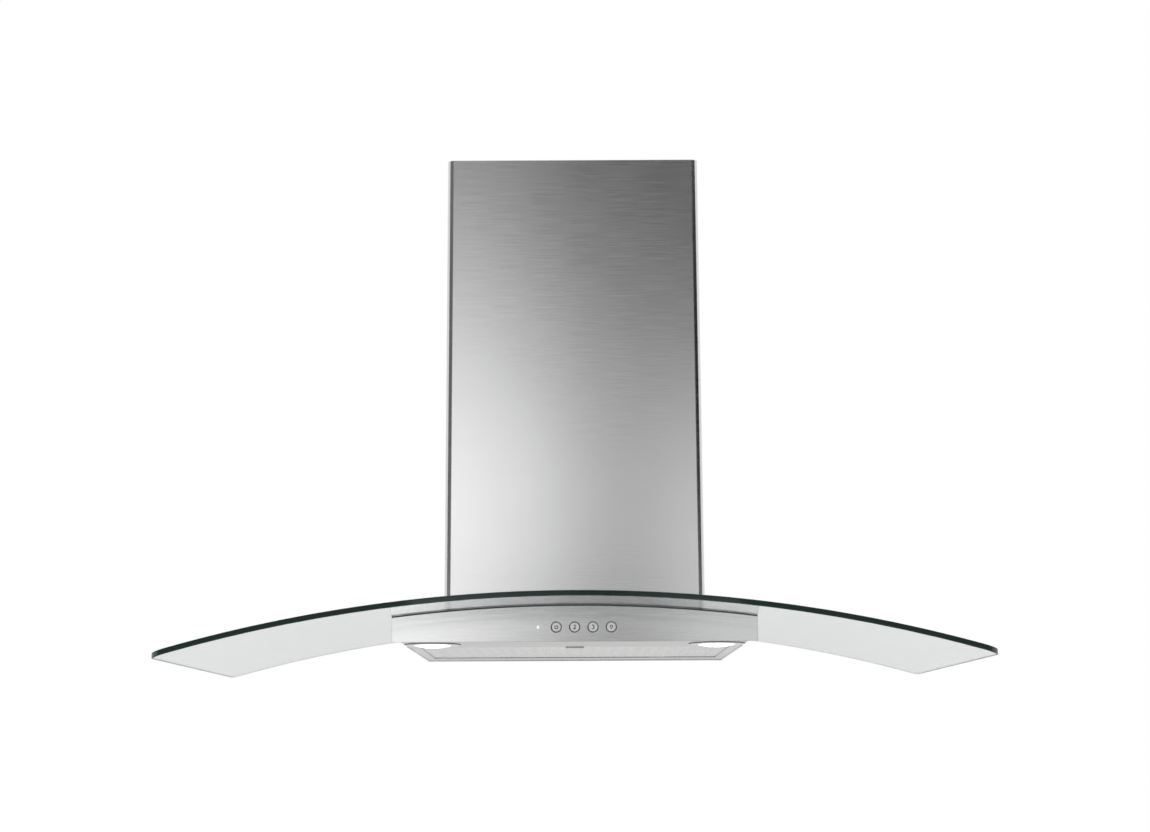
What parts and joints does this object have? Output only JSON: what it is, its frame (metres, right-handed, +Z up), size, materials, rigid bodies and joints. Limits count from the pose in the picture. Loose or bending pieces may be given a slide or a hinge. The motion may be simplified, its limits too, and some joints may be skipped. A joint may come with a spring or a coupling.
{
  "type": "range hood",
  "caption": "Wall-mounted range hood: bent glass canopy, steel body with push buttons, lamps and grease filter, and a telescopic steel flue over a centrifugal blower.",
  "frame": {"origin": "on the wall plane, on the centre line, level with the underside of the steel body", "axes": "+X across the hood to the viewer's right, +Y into the wall, +Z up"},
  "size_m": [0.898, 0.5, 0.62],
  "materials": {
    "canopy_glass": "clear float glass with a green cast, ground edges",
    "brushed_stainless": "horizontal brushed grain",
    "galvanised_sheet": "bare galvanised steel sheet",
    "chromed_trim": "satin chromed",
    "lamp_glass": "frosted",
    "spun_aluminium": "bright spun",
    "filter_aluminium": "expanded and anodised",
    "socket_ceramic": "unglazed",
    "bulb_glass": "clear quartz",
    "button_cap": "satin metallised",
    "black_plastic": "fine texture",
    "grey_plastic": "moulded polypropylene",
    "indicator_resin": "clear diffuse",
    "circuit_board": "solder mask",
    "foam_seal": "closed-cell foam",
    "rubber_grommet": "moulded",
    "zinc_screw": "zinc plated",
    "spring_steel": "bright drawn wire",
    "motor_paint": "baked enamel",
    "shaft_steel": "ground",
    "bearing_bronze": "sintered",
    "capacitor_can": "smooth"
  },
  "bodies": {
    "hood": {"glass_canopy": "canopy_glass", "body_shell": "brushed_stainless", "control_fascia": "brushed_stainless", "lower_flue_cover": "brushed_stainless", "glass_gasket": "foam_seal", "glass_grommets": "rubber_grommet", "glass_screws": "zinc_screw", "box_screws": "zinc_screw", "body_nuts": "zinc_screw", "button_bezels": "black_plastic", "switch_module": "black_plastic", "switch_board": "circuit_board", "indicator_lens": "indicator_resin", "flue_bracket": "galvanised_sheet", "hanging_plate": "galvanised_sheet", "blower_box": "galvanised_sheet", "blower_box_cover": "galvanised_sheet", "scroll_left": "grey_plastic", "scroll_right": "grey_plastic", "outlet_adaptor": "grey_plastic", "outlet_collar": "grey_plastic", "flap_pin": "shaft_steel", "motor": "motor_paint", "motor_bushes": "bearing_bronze", "motor_bracket": "galvanised_sheet", "junction_box": "black_plastic", "junction_cover": "black_plastic", "mains_gland": "black_plastic", "lamp_transformer": "black_plastic", "capacitor": "capacitor_can", "capacitor_clip": "galvanised_sheet", "lamp_bezel_left": "chromed_trim", "lamp_lens_left": "lamp_glass", "lamp_reflector_left": "spun_aluminium", "lamp_bulb_left": "bulb_glass", "lamp_socket_left": "socket_ceramic", "lamp_bezel_right": "chromed_trim", "lamp_lens_right": "lamp_glass", "lamp_reflector_right": "spun_aluminium", "lamp_bulb_right": "bulb_glass", "lamp_socket_right": "socket_ceramic", "spring_power": "spring_steel", "spring_speed_2": "spring_steel", "spring_speed_3": "spring_steel", "spring_light": "spring_steel"},
    "impeller": {"impeller": "black_plastic", "motor_shaft": "shaft_steel"},
    "flap_front": {"flap_front": "grey_plastic"},
    "flap_rear": {"flap_rear": "grey_plastic"},
    "filter": {"filter_frame": "filter_aluminium", "filter_face": "filter_aluminium", "filter_core": "filter_aluminium", "filter_back": "filter_aluminium", "latch_spring": "spring_steel"},
    "filter_latch": {"filter_latch": "chromed_trim"},
    "upper_flue": {"upper_flue_cover": "brushed_stainless"},
    "button_power": {"button_power": "button_cap"},
    "button_speed_2": {"button_speed_2": "button_cap"},
    "button_speed_3": {"button_speed_3": "button_cap"},
    "button_light": {"button_light": "button_cap"}
  },
  "joints": [
    {"name": "impeller_spin", "type": "hinge", "parent": "hood", "child": "impeller", "pos_m": [0, -0.113, 0.15], "axis": [1, 0, 0], "continuous": true},
    {"name": "flap_front_swing", "type": "hinge", "parent": "hood", "child": "flap_front", "pos_m": [0, -0.082, 0.315], "axis": [-1, 0, 0], "range_deg": [0, 80]},
    {"name": "flap_rear_swing", "type": "hinge", "parent": "hood", "child": "flap_rear", "pos_m": [0, -0.082, 0.315], "axis": [1, 0, 0], "range_deg": [0, 80]},
    {"name": "filter_swing", "type": "hinge", "parent": "hood", "child": "filter", "pos_m": [0, -0.0505, 0.002], "axis": [1, 0, 0], "range_deg": [0, 75]},
    {"name": "latch_slide", "type": "slide", "parent": "filter", "child": "filter_latch", "axis": [0, 1, 0], "range_m": [0, 0.005], "stiffness_N_per_m": 300, "springref_m": -0.002, "deforming": ["latch_spring"]},
    {"name": "upper_flue_slide", "type": "slide", "parent": "hood", "child": "upper_flue", "axis": [0, 0, 1], "range_m": [0, 0.4]},
    {"name": "button_power_press", "type": "slide", "parent": "hood", "child": "button_power", "axis": [0, 1, 0], "range_m": [0, 0.0015], "stiffness_N_per_m": 400, "springref_m": -0.001, "deforming": ["spring_power"]},
    {"name": "button_speed_2_press", "type": "slide", "parent": "hood", "child": "button_speed_2", "axis": [0, 1, 0], "range_m": [0, 0.0015], "stiffness_N_per_m": 400, "springref_m": -0.001, "deforming": ["spring_speed_2"]},
    {"name": "button_speed_3_press", "type": "slide", "parent": "hood", "child": "button_speed_3", "axis": [0, 1, 0], "range_m": [0, 0.0015], "stiffness_N_per_m": 400, "springref_m": -0.001, "deforming": ["spring_speed_3"]},
    {"name": "button_light_press", "type": "slide", "parent": "hood", "child": "button_light", "axis": [0, 1, 0], "range_m": [0, 0.0015], "stiffness_N_per_m": 400, "springref_m": -0.001, "deforming": ["spring_light"]}
  ]
}
